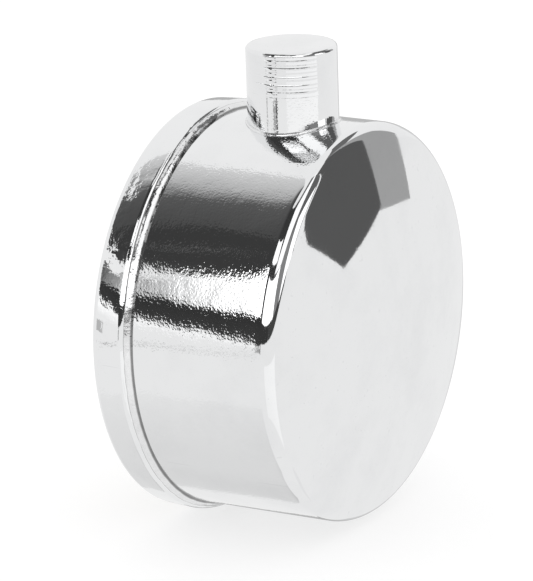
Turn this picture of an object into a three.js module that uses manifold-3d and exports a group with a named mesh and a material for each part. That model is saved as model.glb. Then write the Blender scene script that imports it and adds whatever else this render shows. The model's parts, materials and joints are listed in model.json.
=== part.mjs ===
// Automatic air vent for a steam radiator: a round drum with a float inside it.
// Millimetres, +Z up. The origin is the centre of the inlet nipple's free end.
// +Y runs out of the nipple towards the radiator, and the domed front faces -Y.
import * as THREE from "three";
import { mergeVertices } from "three/addons/utils/BufferGeometryUtils.js";
import Module from "manifold-3d";

// Drum.
const RIM_RADIUS = 28.6;
const SHEET = 0.8;
const GAP = 0.3;
const SHELL_RADIUS = RIM_RADIUS - SHEET - GAP;
const WALL_DEPTH = 25.6;
const CORNER_RADIUS = 2.05;
const DOME_EDGE_SLOPE = THREE.MathUtils.degToRad(17);
const SHELL_MOUTH_DEPTH = 1.4;
const RIM_DEPTH = 4.4;
const LIP_LENGTH = 0.9;
const BACK_EDGE_RADIUS = 1;
const SEAM_BEAD_WIDTH = 0.75;
const SEAM_BEAD_HEIGHT = 0.4;
const MID_DEPTH = 16;

// Inlet nipple, 1/8-27 taper pipe thread.
const NIPPLE_REACH = 12;
const NIPPLE_DROP = 9.5;
const NIPPLE_BORE = 3.2;
const NIPPLE_NECK = 5.2;
const THREAD_END_RADIUS = 4.98;
const THREAD_TAPER = 1 / 32;
const THREAD_PITCH = 25.4 / 27;
const THREAD_HEIGHT = 0.6;
const THREAD_TURNS = 8;
const HEX_THICKNESS = 2.6;
const HEX_ACROSS_FLATS = 14.3;
const TAIL_END = -NIPPLE_REACH - SHEET - 1.6;

// Vent stub and valve seat, with heights above the drum's axis.
const STUB_RADIUS = 6.25;
const STUB_TOP = 38;
const STUB_FOOT = 25.9;
const STUB_CHAMFER = 0.4;
const STUB_BORE = 4.6;
const STUB_ROOF = 1.6;
const STUB_BEAD_WIDTH = 0.45;
const STUB_BEAD_HEIGHT = 0.4;
const VENT_HOLE_RADIUS = 1;
const VENT_HOLE_HEIGHT = 33.5;
const SEAT_HEIGHT = 25.7;
const SEAT_HOLE = 1.1;
const SEAT_MOUTH = 2;
const SEAT_FACE = 24.2;
const ORIFICE_HOLE = 0.5;
const ORIFICE_RADIUS = 1.7;
const ORIFICE_FOOT = 27.8;
const ORIFICE_THICKNESS = 1.5;

// Float, with heights above the drum's axis.
const FLOAT_LIFT = 1.6;
const CAN_RADIUS = 11;
const CAN_SHEET = 0.5;
const CAN_TOP = 15.5;
const CAN_BOTTOM = -18.3;
const CAN_CORNER = 1.2;
const PLUG_RADIUS = 0.6;
const PLUG_OFFSET = 6;
const PIN_RADIUS = 1.3;
const PIN_TIP_RADIUS = 0.3;
const PIN_TAPER = 0.5;
const SEATED_CLEARANCE = 0.06;
const DIAPHRAGM_SHEET = 0.35;
const DIAPHRAGM_RIM = -17;
const DIAPHRAGM_CENTRE = -17.8;
const BUTTON_RADIUS = 3;
const BUTTON_BOTTOM = -20.4;

// Sheet-metal strips inside the drum.
const STRIP = 0.6;

// Facets round one turn.
const DRUM_FACETS = 60;
const NIPPLE_FACETS = 32;
const STUB_FACETS = 36;
const FLOAT_FACETS = 32;
const SMALL_FACETS = 20;

const wasm = await Module();
wasm.setup();

const point = (x, y) => new THREE.Vector2(x, y);

// Points of a circular arc; angles are in radians from the +X direction.
function arc(centre, radius, from, to, steps) {
  return Array.from({ length: steps + 1 }, (_, i) => {
    const angle = from + ((to - from) * i) / steps;
    return point(
      centre.x + radius * Math.cos(angle),
      centre.y + radius * Math.sin(angle),
    );
  });
}

// A closed geometry as a solid that can be joined and cut.
function solidOf(geometry) {
  const bare = geometry.clone();
  bare.deleteAttribute("normal");
  bare.deleteAttribute("uv");
  const merged = mergeVertices(bare, 1e-4);
  return new wasm.Manifold(
    new wasm.Mesh({
      numProp: 3,
      vertProperties: new Float32Array(merged.attributes.position.array),
      triVerts: new Uint32Array(merged.index.array),
    }),
  );
}

function geometryOf(solid) {
  const mesh = solid.getMesh();
  const geometry = new THREE.BufferGeometry();
  geometry.setAttribute("position", new THREE.BufferAttribute(mesh.vertProperties, 3));
  geometry.setIndex(new THREE.BufferAttribute(mesh.triVerts, 1));
  geometry.computeVertexNormals();
  return geometry;
}

const cut = (body, ...tools) =>
  geometryOf(tools.reduce((left, tool) => left.subtract(solidOf(tool)), solidOf(body)));
const join = (...pieces) => geometryOf(pieces.map(solidOf).reduce((a, b) => a.add(b)));
const common = (a, b) => geometryOf(solidOf(a).intersect(solidOf(b)));

// A profile of (radius, height) points turned about the Y axis, listed so that
// the metal is on the left of the way the points run.
function turned(profile, facets) {
  const onAxis = profile[0].x === 0 && profile.at(-1).x === 0;
  const points = onAxis ? profile : [...profile, profile[0]];
  return geometryOf(solidOf(new THREE.LatheGeometry(points, facets)));
}

const ring = (inner, outer, bottom, top, facets) =>
  turned(
    [point(inner, bottom), point(outer, bottom), point(outer, top), point(inner, top)],
    facets,
  );

// A cylinder along Z through the origin of the group it is used in.
const barAlongZ = (radius, length, facets) =>
  new THREE.CylinderGeometry(radius, radius, length, facets).rotateX(Math.PI / 2);

// A strip bent along a path in the XY plane, its width centred on Z = 0.
function bentStrip(path, thickness, width) {
  const lastRun = path.length - 2;
  const heading = (run) => path[run + 1].clone().sub(path[run]).normalize();
  const offsets = path.map((_, i) => {
    const before = heading(Math.max(i - 1, 0));
    const after = heading(Math.min(i, lastRun));
    const along = before.add(after).normalize();
    const reach = thickness / 2 / along.dot(after);
    return point(-along.y * reach, along.x * reach);
  });
  const right = path.map((p, i) => p.clone().sub(offsets[i]));
  const left = path.map((p, i) => p.clone().add(offsets[i]));
  const outline = new THREE.Shape([...right, ...left.reverse()]);
  const settings = { depth: width, bevelEnabled: false };
  return new THREE.ExtrudeGeometry(outline, settings).translate(0, 0, -width / 2);
}

const finishes = {
  chrome: { color: 0xd9dadc, roughness: 0.12, metalness: 1 },
  solder: { color: 0xc4c6c8, roughness: 0.3, metalness: 1 },
  brass: { color: 0xb9964f, roughness: 0.35, metalness: 1 },
  copper: { color: 0xb5714c, roughness: 0.4, metalness: 1 },
  bronze: { color: 0xa97d48, roughness: 0.4, metalness: 1 },
  steel: { color: 0x9a9da1, roughness: 0.4, metalness: 1 },
};

function piece(name, geometry, finish) {
  const mesh = new THREE.Mesh(geometry, new THREE.MeshStandardMaterial(finishes[finish]));
  mesh.name = name;
  return mesh;
}

// ---- Drum: profiles are (radius, depth), with depth negative towards the front.

// The shell's surface from its open mouth to the middle of its dome, set in by
// `inset` from the outer face.
function shellSide(inset) {
  const turn = Math.PI / 2 - DOME_EDGE_SLOPE;
  const cornerCentre = point(SHELL_RADIUS - CORNER_RADIUS, -WALL_DEPTH);
  const corner = arc(cornerCentre, CORNER_RADIUS - inset, 0, -turn, 5);
  const outerEdge = arc(cornerCentre, CORNER_RADIUS, 0, -turn, 1)[1];
  const domeRadius = outerEdge.x / Math.sin(DOME_EDGE_SLOPE);
  const domeCentre = point(0, outerEdge.y + domeRadius * Math.cos(DOME_EDGE_SLOPE));
  const dome = arc(domeCentre, domeRadius - inset, -turn, -Math.PI / 2, 5).slice(1);
  dome.at(-1).x = 0;
  return [point(SHELL_RADIUS - inset, -SHELL_MOUTH_DEPTH), ...corner, ...dome];
}

function frontShell() {
  const profile = [...shellSide(0).reverse(), ...shellSide(SHEET)];
  const stubHole = new THREE.CylinderGeometry(
    STUB_RADIUS + GAP,
    STUB_RADIUS + GAP,
    SHELL_RADIUS,
    STUB_FACETS,
  );
  stubHole.rotateX(Math.PI / 2).translate(0, -MID_DEPTH, SHELL_RADIUS);
  return piece("front_shell", cut(turned(profile, DRUM_FACETS), stubHole), "chrome");
}

function backCover() {
  const inside = RIM_RADIUS - SHEET;
  const edgeCentre = point(RIM_RADIUS - BACK_EDGE_RADIUS, -BACK_EDGE_RADIUS);
  const lipCentre = point(RIM_RADIUS - LIP_LENGTH, -RIM_DEPTH);
  const profile = [
    point(0, -SHEET),
    point(inside, -SHEET),
    point(inside, -RIM_DEPTH - LIP_LENGTH),
    ...arc(lipCentre, LIP_LENGTH, THREE.MathUtils.degToRad(-70), 0, 4),
    ...arc(edgeCentre, BACK_EDGE_RADIUS, 0, Math.PI / 2, 3),
    point(0, 0),
  ];
  const nippleHole = new THREE.CylinderGeometry(
    NIPPLE_NECK + GAP,
    NIPPLE_NECK + GAP,
    4 * SHEET,
    NIPPLE_FACETS,
  );
  nippleHole.translate(0, 0, -NIPPLE_DROP);
  return piece("back_cover", cut(turned(profile, DRUM_FACETS), nippleHole), "chrome");
}

// Solder run round the outside of the seam, between the rim's lip and the shell.
function seamSolderRing() {
  const back = -RIM_DEPTH - LIP_LENGTH - GAP;
  const front = back - SEAM_BEAD_WIDTH;
  const inner = SHELL_RADIUS + GAP;
  const crownCentre = point(inner, (back + front) / 2);
  const crown = arc(crownCentre, SEAM_BEAD_HEIGHT, -1.1, 1.1, 4);
  const profile = [point(inner, front), ...crown, point(inner, back)];
  return piece("seam_solder_ring", turned(profile, DRUM_FACETS), "solder");
}

// ---- Inlet nipple, on its own axis; heights are measured from its free end.

function inletNipple() {
  const hexBack = -NIPPLE_REACH + GAP;
  const neckEnd = hexBack + HEX_THICKNESS + 0.4;
  const threadStart = -0.6;
  const crest = (height) => THREAD_END_RADIUS - height * THREAD_TAPER;
  const thread = Array.from({ length: THREAD_TURNS }, (_, turn) => {
    const root = threadStart - turn * THREAD_PITCH;
    return [
      point(crest(root) - THREAD_HEIGHT, root),
      point(crest(root), root - THREAD_PITCH * 0.4),
      point(crest(root), root - THREAD_PITCH * 0.6),
    ];
  }).flat();
  const profile = [
    point(NIPPLE_BORE, 0),
    point(NIPPLE_BORE, TAIL_END),
    point(NIPPLE_NECK, TAIL_END),
    point(NIPPLE_NECK, neckEnd),
    ...thread.reverse(),
    point(THREAD_END_RADIUS - THREAD_HEIGHT, 0),
  ];
  const hexRadius = HEX_ACROSS_FLATS / 2 / Math.cos(Math.PI / 6);
  const hex = new THREE.CylinderGeometry(hexRadius, hexRadius, HEX_THICKNESS, 6);
  const inNeck = (NIPPLE_BORE + NIPPLE_NECK) / 2;
  const bore = new THREE.CylinderGeometry(inNeck, inNeck, 2 * HEX_THICKNESS, NIPPLE_FACETS);
  const flange = cut(hex, bore).translate(0, hexBack + HEX_THICKNESS / 2, 0);
  return piece("inlet_nipple", join(turned(profile, NIPPLE_FACETS), flange), "brass");
}

function nippleSolderRing() {
  const face = -NIPPLE_REACH - SHEET - GAP;
  const inner = NIPPLE_NECK + GAP;
  const leg = 1.1;
  const profile = [point(inner, face), point(inner, face - leg), point(inner + leg, face)];
  return piece("nipple_solder_ring", turned(profile, NIPPLE_FACETS), "solder");
}

// A strip along the bottom of the bore that lets water run out under the steam.
function siphonTongue() {
  const thickness = 0.5;
  const width = 3.4;
  const floor = -2.15;
  const bend = TAIL_END - 0.1;
  const outerEnd = -1;
  const path = [point(bend - 0.8, floor + 1.2), point(bend, floor), point(outerEnd, floor)];
  const acrossBore = new THREE.Matrix4().makeBasis(
    new THREE.Vector3(0, 1, 0),
    new THREE.Vector3(0, 0, 1),
    new THREE.Vector3(1, 0, 0),
  );
  const strip = bentStrip(path, thickness, width).applyMatrix4(acrossBore);
  return piece("siphon_tongue", strip, "brass");
}

// A hat-shaped shield across the nipple's inner end, soldered to the back cover.
function steamBaffle() {
  const foot = -NIPPLE_REACH - SHEET - GAP - STRIP / 2;
  const plate = foot - 2.5;
  const halfPlate = 7.6;
  const halfSpan = 10.5;
  const width = 11;
  const path = [
    point(-halfSpan, foot),
    point(-halfPlate, foot),
    point(-halfPlate, plate),
    point(halfPlate, plate),
    point(halfPlate, foot),
    point(halfSpan, foot),
  ];
  return piece("steam_baffle", bentStrip(path, STRIP, width), "brass");
}

// ---- Upright pieces: local Y is height above the drum's axis.

function ventStub() {
  const profile = [
    point(0, STUB_TOP - STUB_ROOF),
    point(STUB_BORE, STUB_TOP - STUB_ROOF),
    point(STUB_BORE, STUB_FOOT),
    point(STUB_RADIUS, STUB_FOOT),
    point(STUB_RADIUS, STUB_TOP - STUB_CHAMFER),
    point(STUB_RADIUS - STUB_CHAMFER, STUB_TOP),
    point(0, STUB_TOP),
  ];
  const hole = barAlongZ(VENT_HOLE_RADIUS, STUB_RADIUS, SMALL_FACETS);
  hole.translate(0, VENT_HOLE_HEIGHT, -STUB_RADIUS);
  return piece("vent_stub", cut(turned(profile, STUB_FACETS), hole), "chrome");
}

// Solder round the stub's foot; it follows the curve of the drum.
function stubSolderRing() {
  const inner = STUB_RADIUS + GAP;
  const outer = inner + STUB_BEAD_WIDTH;
  const blank = ring(inner, outer, 0, STUB_TOP, STUB_FACETS);
  const underside = SHELL_RADIUS + GAP;
  const drum = barAlongZ(underside, SHELL_RADIUS, DRUM_FACETS);
  const skin = barAlongZ(underside + STUB_BEAD_HEIGHT, SHELL_RADIUS, DRUM_FACETS);
  return piece("stub_solder_ring", common(cut(blank, drum), skin), "solder");
}

// The brass seat screwed up into the stub's bore; the pin closes its lower mouth.
function seatBushing() {
  const flangeRadius = 5.6;
  const flangeTop = STUB_FOOT - GAP;
  const shank = STUB_BORE - GAP;
  const shankTop = 29.5;
  const pocket = ORIFICE_RADIUS + GAP;
  const pocketFloor = ORIFICE_FOOT - GAP;
  const profile = [
    point(SEAT_MOUTH, SEAT_FACE),
    point(flangeRadius, SEAT_FACE),
    point(flangeRadius, flangeTop),
    point(shank, flangeTop),
    point(shank, shankTop),
    point(pocket, shankTop),
    point(pocket, pocketFloor),
    point(SEAT_HOLE, pocketFloor),
    point(SEAT_HOLE, SEAT_HEIGHT),
  ];
  return piece("seat_bushing", turned(profile, SMALL_FACETS), "brass");
}

function ventOrifice() {
  const top = ORIFICE_FOOT + ORIFICE_THICKNESS;
  const disc = ring(ORIFICE_HOLE, ORIFICE_RADIUS, ORIFICE_FOOT, top, SMALL_FACETS);
  return piece("vent_orifice", disc, "steel");
}

// A strip across the drum whose feet are trimmed to the curve of the shell.
function bridge(path, width) {
  const inside = barAlongZ(SHELL_RADIUS - SHEET - GAP, 2 * width, DRUM_FACETS);
  return common(bentStrip(path, STRIP, width), inside);
}

// A cross strip with a hole that keeps the valve pin upright.
function pinGuide() {
  const plate = 21;
  const shoulder = 25.6;
  const halfPlate = 7.4;
  const foot = point(10.4, 24.1);
  const path = [
    point(-foot.x, foot.y),
    point(-halfPlate, shoulder),
    point(-halfPlate, plate),
    point(halfPlate, plate),
    point(halfPlate, shoulder),
    foot,
  ];
  const clearance = PIN_RADIUS + GAP;
  const hole = new THREE.CylinderGeometry(clearance, clearance, 2, SMALL_FACETS);
  hole.translate(0, plate, 0);
  return piece("pin_guide", cut(bridge(path, 5), hole), "brass");
}

// A cross strip with a raised ring that the diaphragm's button stands in.
function floatRest() {
  const middle = BUTTON_BOTTOM - GAP - STRIP / 2;
  const halfPlate = 9;
  const bend = point(13.2, -22.7);
  const foot = point(16.6, -20.5);
  const path = [
    point(-foot.x, foot.y),
    point(-bend.x, bend.y),
    point(-halfPlate, middle),
    point(halfPlate, middle),
    bend,
    foot,
  ];
  const inner = BUTTON_RADIUS + GAP;
  const locator = ring(inner, inner + STRIP, middle, middle + 1, FLOAT_FACETS);
  return piece("float_rest", join(bridge(path, 7), locator), "brass");
}

function floatCan() {
  const wall = CAN_RADIUS - CAN_SHEET;
  const cornerHeight = CAN_TOP - CAN_CORNER;
  const corner = (inset) =>
    arc(point(CAN_RADIUS - CAN_CORNER, cornerHeight), CAN_CORNER - inset, 0, Math.PI / 2, 3);
  const profile = [
    point(0, CAN_TOP - CAN_SHEET),
    ...corner(CAN_SHEET).reverse(),
    point(wall, CAN_BOTTOM),
    point(CAN_RADIUS, CAN_BOTTOM),
    ...corner(0),
    point(0, CAN_TOP),
  ];
  const clearance = PLUG_RADIUS + GAP;
  const fillHole = new THREE.CylinderGeometry(clearance, clearance, 2, SMALL_FACETS);
  fillHole.translate(PLUG_OFFSET, CAN_TOP, 0);
  return piece("float_can", cut(turned(profile, FLOAT_FACETS), fillHole), "copper");
}

function floatDiaphragm() {
  const rim = CAN_RADIUS - CAN_SHEET - GAP;
  const slopeTop = rim - 1.4;
  const slopeFoot = BUTTON_RADIUS + 0.6;
  const top = [
    point(rim, DIAPHRAGM_RIM),
    point(slopeTop, DIAPHRAGM_RIM),
    point(slopeFoot, DIAPHRAGM_CENTRE),
    point(0, DIAPHRAGM_CENTRE),
  ];
  const bottom = top.map((p) => point(p.x, p.y - DIAPHRAGM_SHEET)).reverse();
  return piece("float_diaphragm", turned([...bottom, ...top], FLOAT_FACETS), "bronze");
}

function diaphragmRing() {
  const outer = CAN_RADIUS - CAN_SHEET - GAP;
  const inner = outer - 1.2;
  const top = DIAPHRAGM_RIM - DIAPHRAGM_SHEET - GAP;
  const bottom = top - 0.6;
  return piece("diaphragm_ring", ring(inner, outer, bottom, top, FLOAT_FACETS), "brass");
}

function diaphragmButton() {
  const top = DIAPHRAGM_CENTRE - DIAPHRAGM_SHEET - GAP;
  const chamfer = 0.6;
  const profile = [
    point(0, BUTTON_BOTTOM),
    point(BUTTON_RADIUS - chamfer, BUTTON_BOTTOM),
    point(BUTTON_RADIUS, BUTTON_BOTTOM + chamfer),
    point(BUTTON_RADIUS, top),
    point(0, top),
  ];
  return piece("diaphragm_button", turned(profile, SMALL_FACETS), "brass");
}

// The pin's cone meets the seat's edge at the top of the float's lift.
function valvePin() {
  const closedTip = SEAT_HEIGHT - SEATED_CLEARANCE + (SEAT_HOLE - PIN_TIP_RADIUS) / PIN_TAPER;
  const tip = closedTip - FLOAT_LIFT;
  const shoulder = tip - (PIN_RADIUS - PIN_TIP_RADIUS) / PIN_TAPER;
  const foot = CAN_TOP + GAP;
  const profile = [
    point(0, foot),
    point(PIN_RADIUS, foot),
    point(PIN_RADIUS, shoulder),
    point(PIN_TIP_RADIUS, tip),
    point(0, tip),
  ];
  return piece("valve_pin", turned(profile, SMALL_FACETS), "brass");
}

// A flanged collar round the foot of the pin.
function pinFerrule() {
  const inner = PIN_RADIUS + GAP;
  const collar = inner + 0.7;
  const flange = collar + 1.1;
  const foot = CAN_TOP + GAP;
  const flangeTop = foot + 0.6;
  const top = foot + 2.6;
  const profile = [
    point(inner, foot),
    point(flange, foot),
    point(flange, flangeTop),
    point(collar, flangeTop + 0.3),
    point(collar, top),
    point(inner, top),
  ];
  return piece("pin_ferrule", turned(profile, SMALL_FACETS), "brass");
}

// The drop of solder that closes the hole the float was filled through.
function fillPlug() {
  const foot = CAN_TOP - 1.2;
  const underHead = CAN_TOP + GAP;
  const headRadius = 1.5;
  const profile = [
    point(0, foot),
    point(PLUG_RADIUS, foot),
    point(PLUG_RADIUS, underHead),
    point(headRadius, underHead),
    point(headRadius - 0.3, underHead + 0.6),
    point(0, underHead + 0.8),
  ];
  const plug = piece("fill_plug", turned(profile, SMALL_FACETS), "solder");
  plug.position.x = PLUG_OFFSET;
  return plug;
}

// An angle strip beside the float that keeps its lower end central; `side` is
// -1 on the left and 1 on the right.
function floatGuide(name, side) {
  const foot = -SHEET - GAP - STRIP / 2;
  const frontEnd = -20;
  const inner = side * (CAN_RADIUS + 1.2);
  const outer = inner + side * 4;
  const width = 8;
  const path = [point(inner, frontEnd), point(inner, foot), point(outer, foot)];
  const guide = piece(name, bentStrip(path, STRIP, width), "brass");
  guide.position.z = -width;
  return guide;
}

const drum = new THREE.Group();
drum.position.set(0, -NIPPLE_REACH, NIPPLE_DROP);
drum.add(
  frontShell(),
  backCover(),
  seamSolderRing(),
  floatGuide("float_guide_left", -1),
  floatGuide("float_guide_right", 1),
);

const nipple = new THREE.Group();
nipple.add(inletNipple(), nippleSolderRing(), siphonTongue(), steamBaffle());

const upright = new THREE.Group();
upright.position.set(0, -MID_DEPTH, 0);
upright.rotation.x = Math.PI / 2;
upright.add(
  ventStub(),
  stubSolderRing(),
  seatBushing(),
  ventOrifice(),
  pinGuide(),
  floatRest(),
  floatCan(),
  floatDiaphragm(),
  diaphragmRing(),
  diaphragmButton(),
  valvePin(),
  pinFerrule(),
  fillPlug(),
);
drum.add(upright);

const airVent = new THREE.Group();
airVent.add(drum, nipple);

export default airVent;
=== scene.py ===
"""Automatic air vent for a steam radiator, seen from the front left. All lengths are metres."""

import json
import math

import bmesh
import bpy
from mathutils import Matrix, Vector


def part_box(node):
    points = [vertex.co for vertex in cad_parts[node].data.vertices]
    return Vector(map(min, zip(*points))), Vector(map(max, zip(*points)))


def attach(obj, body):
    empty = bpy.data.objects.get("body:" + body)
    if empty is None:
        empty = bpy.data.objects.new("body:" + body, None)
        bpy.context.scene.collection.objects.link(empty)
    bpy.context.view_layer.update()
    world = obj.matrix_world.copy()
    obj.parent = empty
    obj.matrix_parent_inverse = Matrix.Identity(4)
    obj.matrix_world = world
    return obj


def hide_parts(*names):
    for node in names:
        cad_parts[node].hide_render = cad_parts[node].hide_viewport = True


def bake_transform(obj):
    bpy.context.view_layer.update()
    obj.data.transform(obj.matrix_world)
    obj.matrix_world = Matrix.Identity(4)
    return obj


MM = 0.001

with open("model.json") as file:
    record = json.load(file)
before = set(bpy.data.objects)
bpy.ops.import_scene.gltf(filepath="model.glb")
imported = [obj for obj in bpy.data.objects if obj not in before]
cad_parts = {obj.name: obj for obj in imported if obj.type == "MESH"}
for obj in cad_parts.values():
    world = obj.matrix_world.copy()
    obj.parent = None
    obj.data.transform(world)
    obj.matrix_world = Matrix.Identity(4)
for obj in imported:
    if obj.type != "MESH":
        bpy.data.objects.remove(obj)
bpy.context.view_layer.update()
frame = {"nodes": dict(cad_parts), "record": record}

# ---- Sizes, from the frame.

cover_low, cover_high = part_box("back_cover")
shell_low, shell_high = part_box("front_shell")
stub_low, stub_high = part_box("vent_stub")
nipple_low, nipple_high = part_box("inlet_nipple")
diaphragm_low, diaphragm_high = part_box("float_diaphragm")
button_low, button_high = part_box("diaphragm_button")

RIM_RADIUS = (cover_high.x - cover_low.x) / 2
SHELL_RADIUS = (shell_high.x - shell_low.x) / 2
AXIS_HEIGHT = (cover_low.z + cover_high.z) / 2
BACK = cover_high.y
SHEET = 0.8 * MM
WALL_DEPTH = 25.6 * MM
CORNER_RADIUS = 2.05 * MM
DOME_EDGE_SLOPE = math.radians(17)
RIM_DEPTH = 4.4 * MM
LIP_LENGTH = 0.9 * MM
SEAM_START = RIM_DEPTH + 0.6 * MM
SEAM_END = SEAM_START + 1.05 * MM
SEAM_TOP = RIM_RADIUS - 0.36 * MM
SEAM_SHOULDER = 0.12 * MM
SEAM_SWELL = 0.1 * MM
SEAM_WAVE = 0.02 * MM
BACK_EDGE_RADIUS = 1 * MM
DRAFT = 0.2 * MM

STUB_RADIUS = (stub_high.x - stub_low.x) / 2
STUB_BORE = 4.6 * MM
STUB_ROOF = 1.6 * MM
STUB_Y = (stub_low.y + stub_high.y) / 2
STUB_TOP = stub_high.z
STUB_FOOT = stub_low.z
VENT_HOLE_RADIUS = 1 * MM
VENT_HOLE_HEIGHT = STUB_TOP - 4.5 * MM
GROOVES = 10
FIRST_GROOVE = 0.85 * MM
GROOVE_PITCH = 0.56 * MM
GROOVES_FOOT = STUB_TOP - 6.2 * MM
GROOVE_DEPTH = 0.03 * MM
GROOVE_HALF_WIDTH = 0.09 * MM
STUB_EDGE_RADIUS = 0.5 * MM
PLAIN_STUB = 6 * MM
DEEP_SIDE = math.radians(189)

NIPPLE_BORE = 3.2 * MM
NIPPLE_NECK = 5.2 * MM
NIPPLE_END = nipple_low.y
HEX_ACROSS_FLATS = nipple_high.x - nipple_low.x
HEX_BACK = BACK + 0.3 * MM
HEX_THICKNESS = 2.6 * MM
THREAD_RADIUS = 4.98 * MM
THREAD_HEIGHT = 0.6 * MM
THREAD_PITCH = 25.4 / 27 * MM
THREAD_LENGTH = 8.4 * MM
THREAD_TAPER = 1 / 32
HEX_CHAMFER = 0.5 * MM

DIAPHRAGM_SHEET = 0.35 * MM

DRUM_STEPS = 288
STUB_STEPS = 144

DRUM_MIDDLE = Vector((0, STUB_Y, AXIS_HEIGHT))


# ---- Camera: a long lens from the front left, a little above the drum.

CAMERA_AZIMUTH = math.radians(-59.55)
CAMERA_ELEVATION = math.radians(16.4)
CAMERA_ROLL = math.radians(-1.78)
CAMERA_DISTANCE = 0.65
LENS = 293.02
SHIFT_X = -0.0568
SHIFT_Y = 0.0392


def direction(azimuth, elevation):
    """Unit vector towards an azimuth from -Y, turning to +X, and an elevation, in radians."""
    flat = math.cos(elevation)
    return Vector((math.sin(azimuth) * flat, -math.cos(azimuth) * flat, math.sin(elevation)))


def add_camera():
    """A camera at the photograph's angle, aimed at the middle of the drum."""
    data = bpy.data.cameras.new("camera")
    data.lens = LENS
    data.sensor_width = 36
    data.shift_x = SHIFT_X
    data.shift_y = SHIFT_Y
    data.clip_start = 0.01
    data.clip_end = 50
    camera = bpy.data.objects.new("camera", data)
    back = direction(CAMERA_AZIMUTH, CAMERA_ELEVATION)
    aim = (-back).to_track_quat("-Z", "Y").to_matrix().to_4x4()
    roll = Matrix.Rotation(CAMERA_ROLL, 4, "Z")
    camera.matrix_world = Matrix.Translation(DRUM_MIDDLE + back * CAMERA_DISTANCE) @ aim @ roll
    bpy.context.scene.collection.objects.link(camera)
    bpy.context.scene.camera = camera


# ---- Materials.


class Nodes:
    """A material's node tree, with short calls to add and link nodes."""

    def __init__(self, name):
        self.material = bpy.data.materials.new(name)
        self.material.use_nodes = True
        self.tree = self.material.node_tree
        self.shader = self.tree.nodes["Principled BSDF"]
        self.place = self.add("ShaderNodeTexCoord").outputs["Object"]

    def add(self, kind, **inputs):
        node = self.tree.nodes.new(kind)
        for name, value in inputs.items():
            self.feed(node, name, value)
        return node

    def feed(self, node, name, value):
        socket = node.inputs[name.replace("_", " ")]
        if isinstance(value, bpy.types.NodeSocket):
            self.tree.links.new(value, socket)
        else:
            socket.default_value = value

    def stretched(self, scale):
        """Object coordinates multiplied by `scale` along X, Y and Z."""
        return self.add("ShaderNodeMapping", Vector=self.place, Scale=scale).outputs["Vector"]

    def noise(self, scale, detail=3, roughness=0.5, stretch=(1, 1, 1)):
        vector = self.stretched(stretch)
        node = self.add("ShaderNodeTexNoise", Vector=vector, Scale=scale, Detail=detail)
        node.inputs["Roughness"].default_value = roughness
        return node.outputs["Fac"]

    def scratch(self, stretch):
        """1 along a few thin lines, which run across the longest side of `stretch`."""
        return self.between(self.noise(60, detail=1, stretch=stretch), 0.74, 0.76)

    def spots(self, scale):
        """0 in the middle of each cell of a scatter of points, rising outwards."""
        return self.add("ShaderNodeTexVoronoi", Vector=self.place, Scale=scale).outputs["Distance"]

    def between(self, value, low, high, to_low=0.0, to_high=1.0):
        node = self.add("ShaderNodeMapRange", Value=value)
        node.inputs["From Min"].default_value = low
        node.inputs["From Max"].default_value = high
        node.inputs["To Min"].default_value = to_low
        node.inputs["To Max"].default_value = to_high
        return node.outputs["Result"]

    def math(self, operation, a, b):
        node = self.tree.nodes.new("ShaderNodeMath")
        node.operation = operation
        for socket, value in zip(node.inputs, (a, b)):
            if isinstance(value, bpy.types.NodeSocket):
                self.tree.links.new(value, socket)
            else:
                socket.default_value = value
        return node.outputs[0]

    def mix(self, factor, low, high):
        """A colour between two colours, each an RGB value or another node's output."""
        node = self.tree.nodes.new("ShaderNodeMix")
        node.data_type = "RGBA"
        for socket, value in zip((node.inputs[6], node.inputs[7]), (low, high)):
            if isinstance(value, bpy.types.NodeSocket):
                self.tree.links.new(value, socket)
            else:
                socket.default_value = (*value, 1)
        self.tree.links.new(factor, node.inputs[0])
        return node.outputs[2]

    def relief(self, height, amount):
        """Height above or below its own middle, times `amount`."""
        return self.math("MULTIPLY", self.math("SUBTRACT", height, 0.5), amount)

    def along_y(self):
        split = self.tree.nodes.new("ShaderNodeSeparateXYZ")
        self.tree.links.new(self.place, split.inputs[0])
        return split.outputs["Y"]

    def bump(self, height, distance, normal=None):
        node = self.add("ShaderNodeBump", Height=height, Distance=distance, Strength=1.0)
        if normal is not None:
            self.feed(node, "Normal", normal)
        return node.outputs["Normal"]

    def finish(self, **sockets):
        for name, value in sockets.items():
            self.feed(self.shader, name, value)
        return self.material


SWELL_SCALE = 190
TOOL_LINE_DEPTH = 0.004 * MM
PIT_DEPTH = 0.01 * MM


def chrome(name, lines, roughened, swell):
    """Bright plate that shows the metal under it. `lines` stretches the tool lines,
    `roughened` gives from the nodes how far the metal is from a true polish, and `swell` is
    the height of its slow waves. Scratches and a slight haze lie over all of it."""
    n = Nodes(name)
    amount = roughened(n)
    haze = n.between(n.noise(90, detail=5, roughness=0.65), 0.45, 0.75)
    scratches = n.math("MAXIMUM", n.scratch((1, 30, 1)), n.scratch((26, 1, 22)))
    normal = n.bump(n.relief(n.noise(SWELL_SCALE, detail=2), amount), swell)
    tool_lines = n.noise(2600, detail=1, stretch=lines)
    normal = n.bump(n.relief(tool_lines, amount), TOOL_LINE_DEPTH, normal)
    normal = n.bump(n.relief(n.noise(2500, detail=2), amount), PIT_DEPTH, normal)
    pits = n.between(n.spots(2700), 0.0, 0.5)
    normal = n.bump(n.relief(pits, amount), PIT_DEPTH / 2, normal)
    marks = n.math("MAXIMUM", n.math("MULTIPLY", haze, 0.5), n.math("MULTIPLY", scratches, 0.5))
    colour = n.mix(marks, (0.88, 0.885, 0.89), (0.78, 0.785, 0.795))
    roughness = n.between(marks, 0.0, 1.0, 0.03, 0.11)
    return n.finish(Base_Color=colour, Metallic=1.0, Roughness=roughness, Normal=normal)


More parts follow.
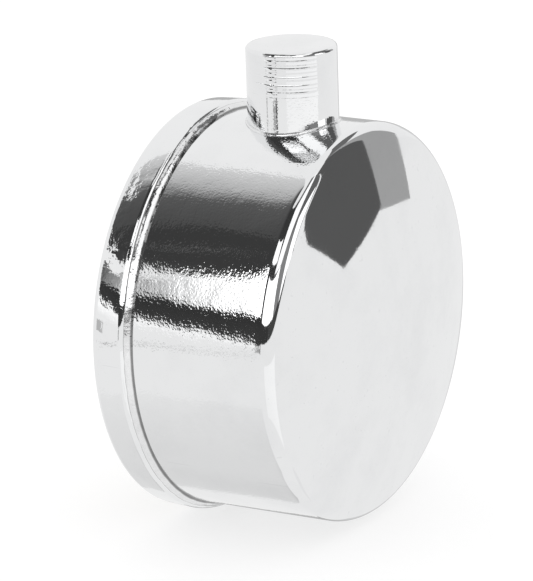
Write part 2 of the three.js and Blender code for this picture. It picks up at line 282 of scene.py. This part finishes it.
def solder(name, crevices=()):
    """Plated solder: bright, lumpy and pitted, with a line of painted shade at each Y in
    `crevices`.
    """
    n = Nodes(name)
    lumps = n.noise(1300, detail=3)
    pits = n.between(n.spots(1700), 0.0, 0.3)
    normal = n.bump(lumps, 0.04 * MM)
    normal = n.bump(pits, 0.015 * MM, normal)
    colour = n.mix(lumps, (0.74, 0.745, 0.75), (0.92, 0.92, 0.925))
    # painted shade: a dark line painted into the colour at each crevice, in place of the shade
    # where the bead meets the parts beside it
    for crevice in crevices:
        away = n.math("ABSOLUTE", n.math("SUBTRACT", n.along_y(), crevice), 0)
        crevice_shade = n.between(away, 0.08 * MM, 0.22 * MM, 0.85, 0.0)
        shade_colour = n.mix(lumps, (0.08, 0.08, 0.08), (0.2, 0.2, 0.2))
        colour = n.mix(crevice_shade, colour, shade_colour)
    roughness = n.between(n.noise(500), 0.35, 0.7, 0.06, 0.22)
    return n.finish(Base_Color=colour, Metallic=1.0, Roughness=roughness, Normal=normal)


def bare_metal(name, light, dark, roughness, stretch=(1, 1, 1)):
    """Plain drawn or turned metal, with tarnish in patches and fine tool lines."""
    n = Nodes(name)
    tarnish = n.between(n.noise(220, detail=5, roughness=0.6), 0.4, 0.7)
    lines = n.noise(900, detail=2, stretch=stretch)
    colour = n.mix(tarnish, light, dark)
    shine = n.between(tarnish, 0.0, 1.0, roughness, roughness + 0.2)
    normal = n.bump(lines, 0.02 * MM)
    return n.finish(Base_Color=colour, Metallic=1.0, Roughness=shine, Normal=normal)


# ---- Meshes.


CRISP_ANGLE = math.radians(35)


def soften(mesh):
    """Smooth shading across facets, with crisp edges where the surface turns sharply."""
    mesh.shade_smooth()
    mesh.set_sharp_from_angle(angle=CRISP_ANGLE)


def smooth_piece(name, mesh, material, slot_name, body, *replaced):
    """A piece that stands for CAD nodes and rides on `body`, or on nothing yet if None."""
    soften(mesh)
    piece = bpy.data.objects.new(name, mesh)
    bpy.context.scene.collection.objects.link(piece)
    mesh.materials.append(material)
    if body is not None:
        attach(piece, body)
    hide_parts(*replaced)
    return piece


def arc(centre, radius, start, end, steps):
    """Points of a circular arc in the (radius, height) plane, angles in radians."""
    angles = [start + (end - start) * i / steps for i in range(steps + 1)]
    return [
        (centre[0] + radius * math.cos(a), centre[1] + radius * math.sin(a)) for a in angles
    ]


def turned_mesh(name, profile, steps, place, radius_at=None):
    """A closed profile of (radius, height) points turned once. `place` gives the point for
    a radius, height and angle; `radius_at` may change the radius with angle and height."""
    mesh = bmesh.new()
    rings = []
    for radius, height in profile:
        if radius < 1e-7:
            rings.append([mesh.verts.new(place(0, height, 0))] * steps)
            continue
        ring = []
        for i in range(steps):
            angle = 2 * math.pi * i / steps
            r = radius_at(radius, height, angle) if radius_at else radius
            ring.append(mesh.verts.new(place(r, height, angle)))
        rings.append(ring)
    pairs = list(zip(rings, rings[1:]))
    if profile[0][0] > 1e-7:
        pairs.append((rings[-1], rings[0]))
    for low, high in pairs:
        for i in range(steps):
            k = (i + 1) % steps
            corners = [low[i], low[k], high[k], high[i]]
            corners = [v for n, v in enumerate(corners) if v is not corners[n - 1]]
            if len(corners) > 2:
                mesh.faces.new(corners)
    bmesh.ops.recalc_face_normals(mesh, faces=mesh.faces)
    data = bpy.data.meshes.new(name)
    mesh.to_mesh(data)
    mesh.free()
    return data


def about_drum(radius, height, angle):
    """The drum's axis runs along Y; height is measured forwards from the back."""
    return Vector(
        (radius * math.cos(angle), BACK - height, AXIS_HEIGHT + radius * math.sin(angle))
    )


def about_stub(radius, height, angle):
    """The stub's axis runs along Z; height is measured from the nipple's axis."""
    return Vector((radius * math.cos(angle), STUB_Y + radius * math.sin(angle), height))


def about_nipple(radius, height, angle):
    """The nipple's axis runs along Y; height is measured towards its free end."""
    return Vector((radius * math.cos(angle), height, radius * math.sin(angle)))


def drilled(mesh, centre, axis, radius, length):
    """The mesh with a round hole through it."""
    drill = bmesh.new()
    bmesh.ops.create_cone(
        drill, cap_ends=True, segments=48, radius1=radius, radius2=radius, depth=length
    )
    turn = axis.to_track_quat("Z", "Y").to_matrix().to_4x4()
    bmesh.ops.transform(drill, matrix=Matrix.Translation(centre) @ turn, verts=drill.verts)
    drill_mesh = bpy.data.meshes.new("drill")
    drill.to_mesh(drill_mesh)
    drill.free()
    tool = bpy.data.objects.new("drill", drill_mesh)
    blank = bpy.data.objects.new("blank", mesh)
    for item in (tool, blank):
        bpy.context.scene.collection.objects.link(item)
    cutting = blank.modifiers.new("hole", "BOOLEAN")
    cutting.operation = "DIFFERENCE"
    cutting.object = tool
    shaped = blank.evaluated_get(bpy.context.evaluated_depsgraph_get())
    result = bpy.data.meshes.new_from_object(shaped)
    for item in (tool, blank):
        bpy.data.objects.remove(item)
    for spare in (drill_mesh, mesh):
        bpy.data.meshes.remove(spare)
    return result


def shell_side(inset):
    """Profile from the shell's open mouth to the middle of its dome."""
    turn = math.pi / 2 - DOME_EDGE_SLOPE
    corner_centre = (SHELL_RADIUS - CORNER_RADIUS, WALL_DEPTH)
    corner = arc(corner_centre, CORNER_RADIUS - inset, 0, turn, 16)
    edge = arc(corner_centre, CORNER_RADIUS, 0, turn, 1)[1]
    dome_radius = edge[0] / math.sin(DOME_EDGE_SLOPE)
    dome_centre = (0, edge[1] - dome_radius * math.cos(DOME_EDGE_SLOPE))
    dome = arc(dome_centre, dome_radius - inset, turn, math.pi / 2, 40)[1:-1]
    top = (0, dome_centre[1] + dome_radius - inset)
    wall_steps = 24
    mouth = BACK - shell_high.y
    wall = [
        (SHELL_RADIUS - inset, mouth + (WALL_DEPTH - mouth) * i / wall_steps)
        for i in range(wall_steps)
    ]
    return [*wall, *corner, *dome, top]


# ---- Pieces.


def wall_only(n):
    """1 on the shell's drawn wall, falling almost to 0 on its polished dome."""
    corner = BACK - WALL_DEPTH
    return n.between(n.along_y(), corner, corner + 0.5 * MM, 0.04, 1.0)


def in_patches(n):
    """Between 0.2 and 1, in soft patches a few millimetres across."""
    return n.between(n.noise(260), 0.4, 0.6, 0.2, 1.0)


drawn_plate = chrome("drawn_chrome", (1, 0.08, 1), wall_only, 0.06 * MM)
rolled_plate = chrome("rolled_chrome", (0.3, 1, 0.3), in_patches, 0.22 * MM)
turned_plate = chrome("turned_chrome", (0.08, 0.08, 1), in_patches, 0.01 * MM)
plated_solder = solder("plated_solder")
# the seam's solder gets a line of painted shade at each edge, where it meets the rim's lip and the
# shell
seam_solder = solder("seam_solder", crevices=(BACK - SEAM_START, BACK - SEAM_END))
brass = bare_metal("turned_brass", (0.76, 0.6, 0.32), (0.55, 0.4, 0.2), 0.22, (1, 1, 8))
drawn_copper = bare_metal("drawn_copper", (0.74, 0.43, 0.28), (0.5, 0.27, 0.17), 0.3, (1, 1, 6))
rolled_bronze = bare_metal("rolled_bronze", (0.68, 0.49, 0.28), (0.5, 0.34, 0.18), 0.3, (6, 1, 1))
stainless = bare_metal("turned_steel", (0.62, 0.63, 0.65), (0.45, 0.46, 0.48), 0.25, (1, 1, 8))

INSIDE_FINISHES = {
    "brass": brass,
    "copper": drawn_copper,
    "bronze": rolled_bronze,
    "steel": stainless,
    "plated_solder": plated_solder,
    "chrome": drawn_plate,
}


def carry_over_nodes():
    """Every CAD node that stays takes the finish of its slot. Its facets are welded so that
    they shade smoothly, and split again where the surface turns sharply."""
    slots = {row["node"]: row["material_slot"] for row in frame["record"]["subparts"]}
    for name, node in frame["nodes"].items():
        node.data.materials.clear()
        node.data.materials.append(INSIDE_FINISHES[slots[name]])
        normals = node.data.attributes.get("custom_normal")
        if normals is not None:
            node.data.attributes.remove(normals)
        node.data.shade_smooth()
        node.modifiers.new("weld", "WELD").merge_threshold = 0.001 * MM
        crisp = node.modifiers.new("crisp", "EDGE_SPLIT")
        crisp.split_angle = CRISP_ANGLE
        crisp.use_edge_sharp = False


def add_front_shell():
    """The drawn cup, with the hole that the stub stands in."""
    profile = [*shell_side(0), *reversed(shell_side(SHEET))]
    mesh = turned_mesh("shell_skin", profile, DRUM_STEPS, about_drum)
    in_stub_wall = (STUB_BORE + STUB_RADIUS) / 2
    top = Vector((0, STUB_Y, AXIS_HEIGHT + SHELL_RADIUS))
    mesh = drilled(mesh, top, Vector((0, 0, 1)), in_stub_wall, SHELL_RADIUS)
    smooth_piece("shell_skin", mesh, drawn_plate, "chrome", "housing", "front_shell")


def add_back_cover():
    """The flat back and its rim, which narrows a little backwards and ends in a rolled lip."""
    inner = RIM_RADIUS - SHEET
    flat = RIM_RADIUS - BACK_EDGE_RADIUS
    lip = arc((RIM_RADIUS - LIP_LENGTH, RIM_DEPTH), LIP_LENGTH, math.radians(70), 0, 12)
    edge = arc((flat - DRAFT, BACK_EDGE_RADIUS), BACK_EDGE_RADIUS, 0, -math.pi / 2, 12)
    profile = [
        (0, SHEET),
        *[(inner * i / 8, SHEET) for i in range(1, 9)],
        (inner, RIM_DEPTH + LIP_LENGTH * 0.95),
        *lip,
        *edge,
        *[((flat - DRAFT) * (8 - i) / 8, 0) for i in range(1, 8)],
        (0, 0),
    ]
    mesh = turned_mesh("cover_skin", profile, DRUM_STEPS, about_drum)
    in_nipple_wall = (NIPPLE_BORE + NIPPLE_NECK) / 2
    mesh = drilled(mesh, Vector((0, BACK, 0)), Vector((0, 1, 0)), in_nipple_wall, 4 * SHEET)
    smooth_piece("cover_skin", mesh, rolled_plate, "chrome", "housing", "back_cover")


def add_seam_bead():
    """Solder that slopes from the rim's lip down to the shell, a little rounded."""
    foot = SHELL_RADIUS - SEAM_SWELL
    steps = 12

    def slope(share):
        swell = SEAM_SWELL * math.sin(math.pi * share)
        radius = SEAM_TOP + (SHELL_RADIUS - SEAM_TOP) * share
        return radius + swell, SEAM_START + SEAM_SHOULDER + (SEAM_END - SEAM_START) * share

    profile = [
        (foot, SEAM_START),
        (SEAM_TOP - 0.05 * MM, SEAM_START),
        *[slope(i / steps) for i in range(steps + 1)],
        (foot, SEAM_END),
    ]

    def wavy(radius, height, angle):
        if radius < SHELL_RADIUS + SEAM_SWELL:
            return radius
        wave = math.sin(17 * angle) + 0.7 * math.sin(41 * angle + 1) + 0.5 * math.sin(83 * angle)
        return radius + SEAM_WAVE * wave

    mesh = turned_mesh("seam_bead", profile, 2 * DRUM_STEPS, about_drum, wavy)
    smooth_piece("seam_bead", mesh, seam_solder, "plated_solder", "housing", "seam_solder_ring")


def add_stub():
    """A plug with a rounded top edge, a blind bore and tool marks near its top."""
    plain_steps = 12
    side = [
        (STUB_RADIUS, STUB_FOOT + PLAIN_STUB * i / plain_steps) for i in range(plain_steps + 1)
    ]
    for i in reversed(range(GROOVES)):
        height = STUB_TOP - FIRST_GROOVE - GROOVE_PITCH * (i + 0.22 * math.sin(2.2 * i))
        share = 0.78 + 0.2 * math.sin(3.5 * i)
        side += [
            (STUB_RADIUS, height - GROOVE_HALF_WIDTH),
            (STUB_RADIUS - GROOVE_DEPTH * share, height),
            (STUB_RADIUS, height + GROOVE_HALF_WIDTH),
        ]
    flat = STUB_RADIUS - STUB_EDGE_RADIUS
    edge = arc((flat, STUB_TOP - STUB_EDGE_RADIUS), STUB_EDGE_RADIUS, 0, math.pi / 2, 8)
    top = [(flat * (8 - i) / 8, STUB_TOP) for i in range(1, 8)]
    underside = STUB_TOP - STUB_ROOF
    profile = [
        (0, underside),
        (STUB_BORE, underside),
        (STUB_BORE, STUB_FOOT),
        *side,
        *edge,
        *top,
        (0, STUB_TOP),
    ]

    def eccentric(radius, height, angle):
        """The tool cut deeper on one side."""
        grooved = GROOVES_FOOT < height < STUB_TOP - STUB_EDGE_RADIUS
        if not grooved or radius < STUB_BORE + GROOVE_DEPTH:
            return radius
        deep = (math.cos(angle - DEEP_SIDE) - 0.55) / 0.25
        return STUB_RADIUS - (STUB_RADIUS - radius) * min(1, max(0.05, deep))

    mesh = turned_mesh("stub_skin", profile, STUB_STEPS, about_stub, eccentric)
    hole = Vector((0, STUB_Y + STUB_RADIUS, VENT_HOLE_HEIGHT))
    mesh = drilled(mesh, hole, Vector((0, 1, 0)), VENT_HOLE_RADIUS, STUB_RADIUS)
    smooth_piece("stub_skin", mesh, turned_plate, "chrome", "housing", "vent_stub")


def add_stub_foot():
    """A bead round the stub's foot that follows the curve of the drum."""
    mesh = bmesh.new()
    section = 10
    bead_radius = 0.16 * MM
    rings = []
    for i in range(STUB_STEPS):
        angle = 2 * math.pi * i / STUB_STEPS
        ring = []
        for j in range(section):
            turn = 2 * math.pi * j / section
            radius = STUB_RADIUS + bead_radius * (0.8 + math.cos(turn))
            x = radius * math.cos(angle)
            y = STUB_Y + radius * math.sin(angle)
            skin = math.sqrt(SHELL_RADIUS**2 - x * x)
            z = AXIS_HEIGHT + skin + bead_radius * (0.5 + math.sin(turn))
            ring.append(mesh.verts.new((x, y, z)))
        rings.append(ring)
    for ring, after in zip(rings, [*rings[1:], rings[0]]):
        for j in range(section):
            k = (j + 1) % section
            mesh.faces.new((ring[j], ring[k], after[k], after[j]))
    bmesh.ops.recalc_face_normals(mesh, faces=mesh.faces)
    data = bpy.data.meshes.new("stub_foot_bead")
    mesh.to_mesh(data)
    mesh.free()
    smooth_piece(
        "stub_foot_bead", data, plated_solder, "plated_solder", "housing", "stub_solder_ring"
    )


def add_nipple():
    """A taper thread cut as a helix, a chamfered hexagon, and a plain bore."""
    hex_front = HEX_BACK + HEX_THICKNESS
    hex_radius = HEX_ACROSS_FLATS / 2 / math.cos(math.pi / 6)
    chamfered = HEX_ACROSS_FLATS / 2
    thread_start = -THREAD_LENGTH
    thread_steps = 140
    thread = [thread_start * (1 - i / thread_steps) for i in range(thread_steps + 1)]
    profile = [
        (NIPPLE_BORE, NIPPLE_END),
        (NIPPLE_NECK, NIPPLE_END),
        (NIPPLE_NECK, HEX_BACK),
        (chamfered, HEX_BACK),
        (hex_radius, HEX_BACK + HEX_CHAMFER),
        (hex_radius, hex_front - HEX_CHAMFER),
        (chamfered, hex_front),
        (NIPPLE_NECK - HEX_CHAMFER, hex_front),
        *[(THREAD_RADIUS, height) for height in thread],
        (NIPPLE_BORE, 0),
    ]

    def hexed_and_threaded(radius, height, angle):
        if radius == THREAD_RADIUS:
            turn = (height / THREAD_PITCH + angle / (2 * math.pi)) % 1
            groove = min(1, max(0, 1.15 - 2.6 * abs(turn - 0.5)))
            runs_in = min(1, -height / THREAD_PITCH, (height - thread_start) / THREAD_PITCH)
            crest = THREAD_RADIUS - height * THREAD_TAPER
            return crest - THREAD_HEIGHT * (1 - (1 - groove) * max(0.15, runs_in))
        if HEX_BACK <= height <= hex_front and radius > NIPPLE_NECK:
            from_flat = angle % (math.pi / 3)
            from_flat = min(from_flat, math.pi / 3 - from_flat)
            return min(radius, HEX_ACROSS_FLATS / 2 / math.cos(from_flat))
        return radius

    mesh = turned_mesh("nipple_skin", profile, STUB_STEPS, about_nipple, hexed_and_threaded)
    smooth_piece("nipple_skin", mesh, brass, "brass", "housing", "inlet_nipple")


def add_diaphragm():
    """A dished bronze disc with three ridges; its rim lies at the float diaphragm's top and its
    middle on the button."""
    rim = (diaphragm_high.x - diaphragm_low.x) / 2
    slope_top = rim - 1.4 * MM
    slope_foot = (button_high.x - button_low.x) / 2 + 0.6 * MM
    rim_height = diaphragm_high.z
    middle_height = diaphragm_low.z + DIAPHRAGM_SHEET
    steps = 48
    ridges = 3
    ridge_height = 0.06 * MM

    def slope(share):
        radius = slope_foot + (slope_top - slope_foot) * share
        ridge = ridge_height * (1 - math.cos(2 * math.pi * ridges * share))
        fall = (middle_height - rim_height) * (1 - share)
        return radius, rim_height + fall + ridge * (1 - share)

    top = [(0, middle_height), *[slope(i / steps) for i in range(steps + 1)], (rim, rim_height)]
    bottom = [(radius, height - DIAPHRAGM_SHEET) for radius, height in reversed(top)]
    mesh = turned_mesh("diaphragm_skin", [*top, *bottom], STUB_STEPS, about_stub)
    piece = smooth_piece(
        "diaphragm_skin", mesh, rolled_bronze, "bronze", None, "float_diaphragm"
    )
    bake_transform(piece)


# ---- Studio: a pale floor, and a tent of reflectors that only the metal sees.


def panel_glow():
    """Emission whose strength is the panel's own brightness at each point."""
    material = bpy.data.materials.new("panel_glow")
    material.use_nodes = True
    tree = material.node_tree
    tree.nodes.remove(tree.nodes["Principled BSDF"])
    brightness = tree.nodes.new("ShaderNodeAttribute")
    brightness.attribute_name = "brightness"
    glow = tree.nodes.new("ShaderNodeEmission")
    tree.links.new(brightness.outputs["Fac"], glow.inputs["Strength"])
    tree.links.new(glow.outputs[0], tree.nodes["Material Output"].inputs["Surface"])
    return material


PANEL_GLOW = panel_glow()


def reflector(name, corners, brightness, distance):
    """A curved panel round the object. Corners are (azimuth, elevation) in degrees, in the
    order lower left, lower right, upper right, upper left, and brightness is one number or
    one for each corner."""
    mesh = bmesh.new()
    across, up = 24, 16
    levels = brightness if isinstance(brightness, tuple) else (brightness,) * 4
    strengths = []
    grid = []
    for j in range(up + 1):
        row = []
        for i in range(across + 1):
            s, t = i / across, j / up
            weights = ((1 - s) * (1 - t), s * (1 - t), s * t, (1 - s) * t)
            azimuth = sum(w * c[0] for w, c in zip(weights, corners))
            elevation = sum(w * c[1] for w, c in zip(weights, corners))
            way = direction(math.radians(azimuth), math.radians(elevation))
            row.append(mesh.verts.new(DRUM_MIDDLE + way * distance))
            strengths.append(sum(w * level for w, level in zip(weights, levels)))
        grid.append(row)
    for low, high in zip(grid, grid[1:]):
        for i in range(across):
            mesh.faces.new((low[i], low[i + 1], high[i + 1], high[i]))
    data = bpy.data.meshes.new(name)
    mesh.to_mesh(data)
    mesh.free()
    data.attributes.new("brightness", "FLOAT", "POINT").data.foreach_set("value", strengths)
    data.materials.append(PANEL_GLOW)
    panel = bpy.data.objects.new(name, data)
    bpy.context.scene.collection.objects.link(panel)
    panel.visible_camera = False
    panel.visible_diffuse = False
    panel.visible_shadow = False


TENT = 3.0
CEILING = 2.6
LOW_PANELS = 2.5
HORIZON = 2.2
SOFTBOXES = 2.0
SEAM_PANELS = 1.95
WALL_PANELS = 0.2
STUB_PANELS = 0.15


def oblong(left, right, foot, top):
    """Corners of a panel between two azimuths and two elevations."""
    return [(left, foot), (right, foot), (right, top), (left, top)]


def add_tent():
    """The bright surroundings, and the darker room above and beside the camera. The panels of
    this studio were placed so that the plate shows the photograph's bands from the
    photograph's side; from other sides they fall as they may."""
    reflector("tent_low", oblong(-180, 180, -90, 0), 0.9, TENT)
    reflector("tent_high", oblong(-180, 180, 0, 90), 0.93, TENT)
    edge = [(-199, 56), (-176, 55), (-176, 90), (-199, 90)]
    reflector("ceiling_edge", edge, (0.72, 0.5, 0.5, 0.72), CEILING)
    fade = [(-176, 55), (-161, 52), (-161, 90), (-176, 90)]
    reflector("ceiling_fade", fade, (0.5, 0.12, 0.12, 0.5), CEILING)
    back = [(-161, 46), (-112, 20), (-112, 90), (-161, 90)]
    reflector("ceiling_back", back, (0.11, 0.03, 0.03, 0.1), CEILING)
    reflector("ceiling_side", [(-117, -2), (-30, 8), (-30, 75), (-117, 75)], 0.04, CEILING)
    reflector("ceiling_front", [(-30, 8), (28, 0), (28, 75), (-30, 75)], 0.13, CEILING)
    reflector("horizon_side", [(-110, 0), (-55, 0), (-55, 8), (-110, 12)], 0.04, HORIZON)
    reflector("horizon_front", [(-55, 0), (22, -3), (22, 2), (-55, 8)], 0.06, HORIZON)


def add_front_panels():
    """Softboxes and flags that the dome, the corner and the solder see."""
    reflector("softbox", [(-106, 11), (-30, 7), (-30, 30), (-106, 35)], 1.6, SOFTBOXES)
    reflector("seam_light", [(-64, 35), (-28, 30), (34, 66), (-35, 68)], 1.2, SEAM_PANELS)
    reflector("high_softbox", oblong(-112, -64, 42, 55), 1.3, SOFTBOXES)
    reflector("seam_shade", [(48, 42), (88, 37), (88, 60), (48, 62)], 0.15, SEAM_PANELS)
    reflector("front_shade", [(-30, 4), (0, 2), (0, 34), (-30, 34)], 0.25, 2.4)
    reflector("front_softbox", [(0, 2), (26, 0), (26, 28), (4, 33)], 1.4, SOFTBOXES)
    reflector("black_flag", [(33, -1), (56, -3), (52, 60), (27, 60)], 0.1, 1.8)
    reflector("black_flag_foot", [(42, -6.5), (56, -3), (56, -3), (33, -1)], 0.1, 1.8)
    reflector("grey_flag", [(55, -3.2), (67, -5.4), (68.5, 20), (53, 60)], 0.38, 1.9)


def add_low_panels():
    """Slight shades below the horizon, which give the lower half of the drum its form."""
    reflector("corner_light", oblong(-75, 6, -40, -12), (0.97, 1.0, 1.04, 1.0), LOW_PANELS)
    reflector("floor_fade", oblong(-180, -118, -75, -34), (0.72, 0.72, 0.86, 0.86), LOW_PANELS)
    reflector("floor_fade_back", oblong(140, 180, -75, -34), (0.6, 0.72, 0.86, 0.86), LOW_PANELS)
    reflector("edge_shade", oblong(96, 124, -45, 6), (0.75, 0.45, 0.45, 0.75), LOW_PANELS)


def add_wall_panels():
    """Small panels close to the drum, so that the two ends of its wall see different parts."""
    ceiling = [(-135, 30), (-111, 34), (-111, 50), (-135, 50)]
    reflector("wall_ceiling", ceiling, 0.045, WALL_PANELS + 0.01)
    horizon = [(-132, 12.5), (-110, -2), (-110, 13), (-132, 19)]
    reflector("wall_horizon", horizon, (0.05, 0.05, 0.03, 0.03), WALL_PANELS + 0.005)
    left = [(-122, 15.8), (-116.5, 14), (-120.3, 26), (-124, 21.5)]
    reflector("wall_light_left", left, (0.45, 0.85, 0.8, 0.3), WALL_PANELS)
    right = [(-116.5, 14), (-111, 12.3), (-115, 38), (-120.3, 26)]
    reflector("wall_light_right", right, (0.85, 3, 3, 0.8), WALL_PANELS)
    rim = [(-134, 17), (-122, 15.8), (-124, 21.5), (-134, 24)]
    reflector("rim_light", rim, (0.05, 0.45, 0.3, 0.05), WALL_PANELS)
    floor = [(-132, 6), (-110, -5), (-110, -1.5), (-132, 13)]
    reflector("wall_floor", floor, (0.9, 0.9, 1.2, 1.2), WALL_PANELS + 0.005)
    streak = [(-127.6, 35.5), (-124.5, 41.8), (-124.5, 43.2), (-127.6, 36.9)]
    reflector("wall_streak", streak, 0.17, WALL_PANELS)
    seam = [(-128, -9), (-112, -6.4), (-112, -5.8), (-128, -8.4)]
    reflector("wall_seam", seam, (0.35, 0.7, 0.7, 0.35), WALL_PANELS)


def add_stub_panels():
    """Narrow panels closer still, for the upright streaks in the stub."""
    reflector("stub_streak", oblong(-110, -102, -3.6, -1.3), 0.4, STUB_PANELS)
    reflector("stub_streak_left", oblong(-128, -125, -3.6, 1.5), 0.5, STUB_PANELS)
    reflector("stub_streak_right", oblong(-102, -98.5, -3.6, 1.5), 0.06, STUB_PANELS)


def add_floor():
    """A pale matt floor just under the drum, which the metal doesn't see."""
    reach = 4
    height = AXIS_HEIGHT - RIM_RADIUS - 0.1 * MM
    mesh = bpy.data.meshes.new("floor")
    plan = [(-reach, -reach), (reach, -reach), (reach, reach), (-reach, reach)]
    mesh.from_pydata([(x, y, height) for x, y in plan], [], [(0, 1, 2, 3)])
    floor = bpy.data.objects.new("floor", mesh)
    bpy.context.scene.collection.objects.link(floor)
    n = Nodes("pale_floor")
    glow = {"Emission_Color": (1, 1, 1, 1), "Emission_Strength": 0.62}
    mesh.materials.append(n.finish(Base_Color=(0.36, 0.36, 0.36, 1), Roughness=0.9, **glow))
    floor.visible_glossy = False


def add_world():
    """Even white light from all round."""
    world = bpy.data.worlds.new("studio")
    bpy.context.scene.world = world
    world.use_nodes = True
    background = world.node_tree.nodes["Background"]
    background.inputs["Color"].default_value = (1, 1, 1, 1)
    background.inputs["Strength"].default_value = 1.12
    bpy.context.scene.view_settings.view_transform = "Standard"


add_camera()
carry_over_nodes()
add_front_shell()
add_back_cover()
add_seam_bead()
add_stub()
add_stub_foot()
add_nipple()
add_diaphragm()
add_tent()
add_front_panels()
add_low_panels()
add_wall_panels()
add_stub_panels()
add_floor()
add_world()
